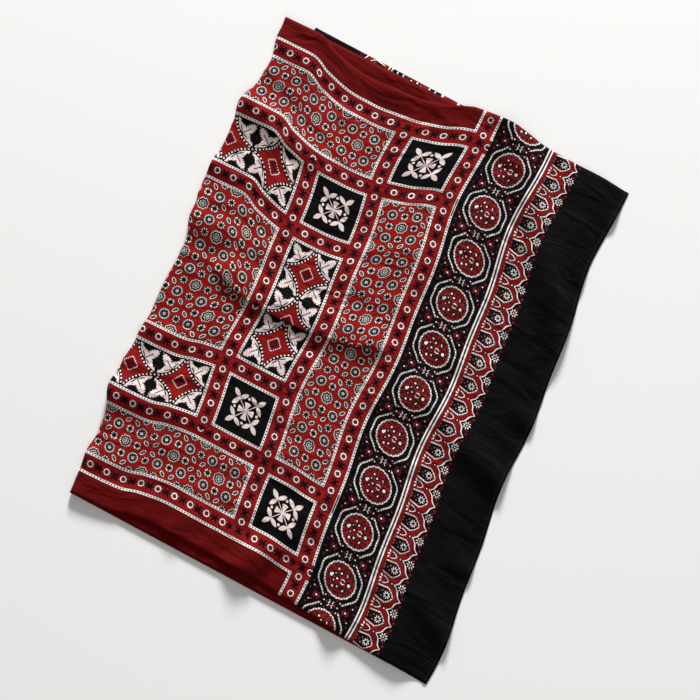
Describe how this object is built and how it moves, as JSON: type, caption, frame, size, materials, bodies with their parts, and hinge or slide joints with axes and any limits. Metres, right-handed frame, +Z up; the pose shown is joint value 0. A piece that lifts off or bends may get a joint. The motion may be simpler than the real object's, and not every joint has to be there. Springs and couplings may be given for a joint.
{
  "type": "ajrakh cloth",
  "caption": "Rectangular block-printed cotton cloth, folded back and forth along its length and laid flat with a tucked pleat and soft uneven folds.",
  "frame": {"origin": "on the surface, below the middle of the folded cloth's box", "axes": "+Z up from the surface, Y across the width of the cloth from selvedge to selvedge, X along its length with the upper end hem at +X"},
  "size_m": [0.9731, 1.2579, 0.0342],
  "materials": {
    "printed_cotton": "dull plain-weave cotton, block printed in madder red, black and white"
  },
  "bodies": {
    "root": {"ajrakh_cloth": "printed_cotton"}
  },
  "joints": []
}
